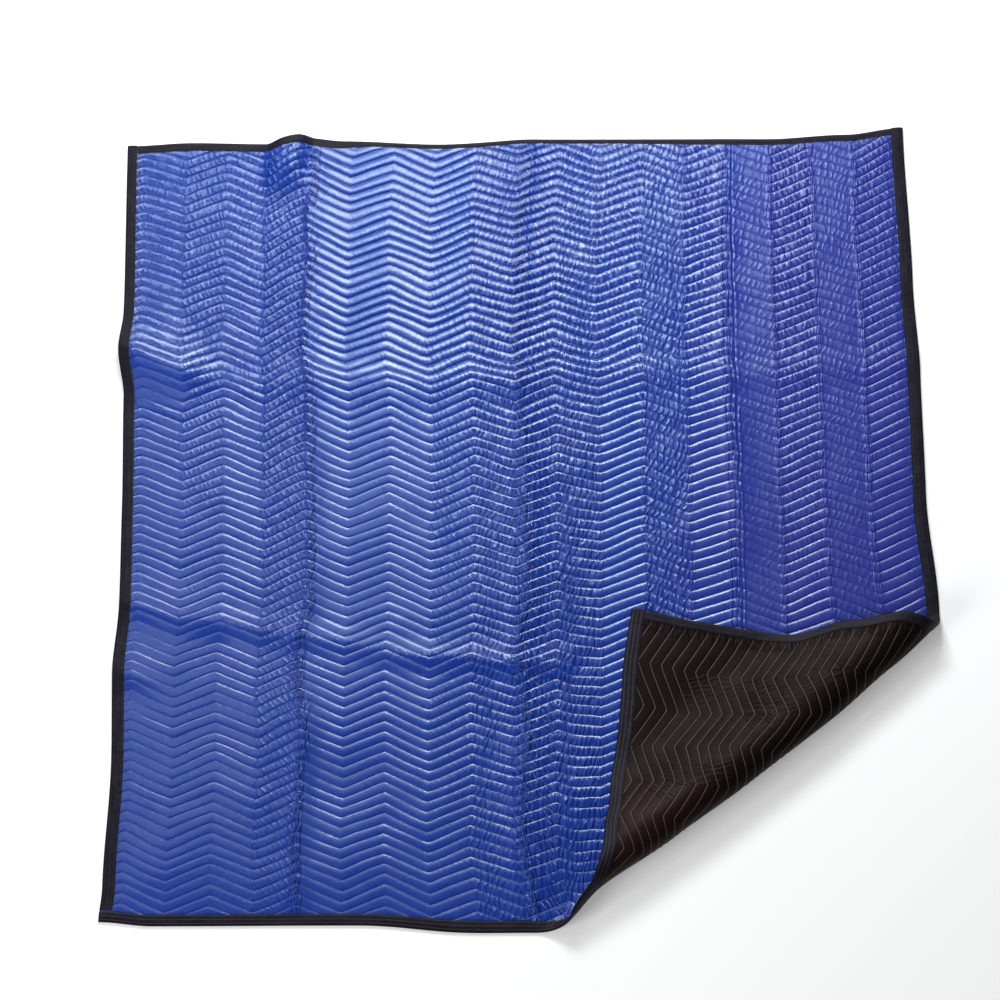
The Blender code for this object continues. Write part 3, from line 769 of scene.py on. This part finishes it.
def blue_cloth():
    """The face: glossy, with its puckers, creases, pleats and sewing."""
    n = Quilted("Blue cloth")
    n.bump(n.puckers(0.0027), n.crumples(0.0050), n.wrinkles(0.0005), n.pleats(), n.ripples(), n.tucks(),
           n.grooves(0.0014), n.weave())
    # Painted shade: the face is painted darker and more purple towards the right.
    colour = n.colour_and_shade(light=(0.008, 0.041, 0.325), dark=(0.024, 0.033, 0.300))
    n.set(
        Base_Color=n.mix(n.times(n.thread(dash=0.0), 0.25), colour, (0.12, 0.18, 0.50, 1.0)),
        Roughness=n.cloth_roughness(0.29),
        Specular_IOR_Level=0.46,
        Specular_Tint=(0.66, 0.84, 1.0, 1.0),
        Coat_Weight=0.24,
        Coat_Roughness=0.12,
    )
    return n.material


def black_cloth():
    """The back: dull, with pale thread and a gathered hem."""
    n = Quilted("Black cloth")
    n.bump(n.puckers(0.0013), n.crumples(0.0018), n.ripples(), n.hem(0.0022), n.grooves(0.0003), n.weave())
    # Painted sheen: the back's light brown colour stands for a sheen on its left, and its dark colour for
    # shade towards the right.
    colour = n.colour_and_shade(light=(0.020, 0.0095, 0.0085), dark=(0.009, 0.0048, 0.0050))
    n.set(
        Base_Color=n.mix(n.times(n.thread(dash=0.5), 0.75), colour, (0.22, 0.18, 0.155, 1.0)),
        Roughness=n.cloth_roughness(0.46),
        Specular_IOR_Level=0.055,
        Specular_Tint=(1.0, 0.76, 0.70, 1.0),
    )
    return n.material


def tape_cloth(name, rows):
    """A ribbed dull tape with rows of stitches by its inner edge. rows says how plainly they show."""
    n = Nodes(name)
    along, inward, _ = n.split("tape")
    ribs = n.times(n.wave(along, RIB_STEP), RIB_HEIGHT)
    gathers = n.times(n.plus(n.grain((along, 0.012), (inward, 0.03), 0.0, 1.5), -0.5), GATHER_HEIGHT)
    n.bump(ribs, gathers)
    dust = n.grain((along, 0.06), (inward, 0.02), 2.0, 3.0, 0.65)
    colour = n.mix(n.smooth(dust, 0.35, 0.75), (0.006, 0.005, 0.012, 1.0), (0.016, 0.012, 0.024, 1.0))
    from_row = n.math("PINGPONG", n.plus(inward, -ROWS_FROM), ROWS_FOLD)
    from_row = n.math("ABSOLUTE", n.plus(from_row, -ROW_OFF))
    stitch = n.smooth(n.wave(along, TAPE_STITCH_STEP), -0.5, 0.1, 0.3, 1.0)
    sewn = n.times(n.smooth(from_row, *ROW_SIDE, 1.0, 0.0), stitch, rows)
    n.set(Base_Color=n.mix(sewn, colour, (0.06, 0.048, 0.052, 1.0)), Roughness=0.55, Specular_IOR_Level=0.10)
    return n.material


def pale_floor():
    """A plain pale floor that glows a little, so that it stays near white."""
    n = Nodes("Pale floor")
    n.set(Base_Color=(0.92, 0.92, 0.92, 1.0), Roughness=0.9, Emission_Color=(1.0, 1.0, 1.0, 1.0),
          Emission_Strength=0.30)
    corners = [(-1, -1), (1, -1), (1, 1), (-1, 1)]
    mesh = bpy.data.meshes.new("floor")
    points = [(FLOOR_REACH * x, FLOOR_REACH * y, FLOOR_LEVEL) for x, y in corners]
    mesh.from_pydata(points, [], [(0, 1, 2, 3)])
    mesh.materials.append(n.material)
    floor = bpy.data.objects.new("floor", mesh)
    bpy.context.scene.collection.objects.link(floor)


def area_light(name, place, target, size, power, colour):
    data = bpy.data.lights.new(name, "AREA")
    data.shape = "RECTANGLE"
    data.size, data.size_y = size
    data.energy = power
    data.color = colour
    light = bpy.data.objects.new(name, data)
    light.location = place
    light.rotation_mode = "QUATERNION"
    light.rotation_quaternion = (Vector(target) - Vector(place)).to_track_quat("-Z", "Y")
    bpy.context.scene.collection.objects.link(light)


def soft_room():
    world = bpy.data.worlds.new("Soft room")
    world.use_nodes = True
    background = world.node_tree.nodes["Background"].inputs
    background["Color"].default_value = ROOM_COLOUR
    background["Strength"].default_value = ROOM_STRENGTH
    bpy.context.scene.world = world
    bpy.context.scene.view_settings.view_transform = "Standard"


def add_camera():
    data = bpy.data.cameras.new("Camera")
    data.lens = CAMERA_LENS
    data.clip_end = CAMERA_REACH
    camera = bpy.data.objects.new("Camera", data)
    focus = Vector((CAMERA_FOCUS[0] - ORIGIN[0], CAMERA_FOCUS[1] - ORIGIN[1], 0.0))
    camera.location = focus + CAMERA_AWAY * Vector((0.0, -math.sin(CAMERA_TILT), math.cos(CAMERA_TILT)))
    camera.rotation_euler = (CAMERA_TILT, 0.0, 0.0)
    bpy.context.scene.collection.objects.link(camera)
    bpy.context.scene.camera = camera


def dress(piece, node, material):
    """Gives a piece its material and puts it in its CAD node's place."""
    piece.data.materials.append(material)
    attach(piece, "root")
    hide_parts(node)


face = quilted_sheet("face_sheet", face_height, puckers, faces_up=True)
back = quilted_sheet("back_sheet", back_height, back_puckers, faces_up=False)
side_span = (SIDE_TAPES_START - LENGTH / 2, LENGTH / 2 + TAPE_OUT)
top_span = (TOP_TAPE_INSET - WIDTH / 2, WIDTH / 2 - TOP_TAPE_INSET)
bottom_span = (-WIDTH / 2 - TAPE_OUT, WIDTH / 2 + TAPE_OUT)
tapes = {
    "binding_left": binding("tape_left", "left", *side_span),
    "binding_right": binding("tape_right", "right", *side_span),
    "binding_top": binding("tape_top", "top", *top_span, TOP_TAPE_ABOVE),
    "binding_bottom": binding("tape_bottom", "bottom", *bottom_span, BOTTOM_TAPE_ABOVE),
}

dress(face, "face_cloth", blue_cloth())
dress(back, "back_cloth", black_cloth())
plain_tape = tape_cloth("Binding tape", 0.25)
sewn_tape = tape_cloth("Bottom binding tape", 0.9)
for node, piece in tapes.items():
    dress(piece, node, sewn_tape if node == "binding_bottom" else plain_tape)

pale_floor()
soft_room()
for light in LIGHTS:
    area_light(*light)
add_camera()
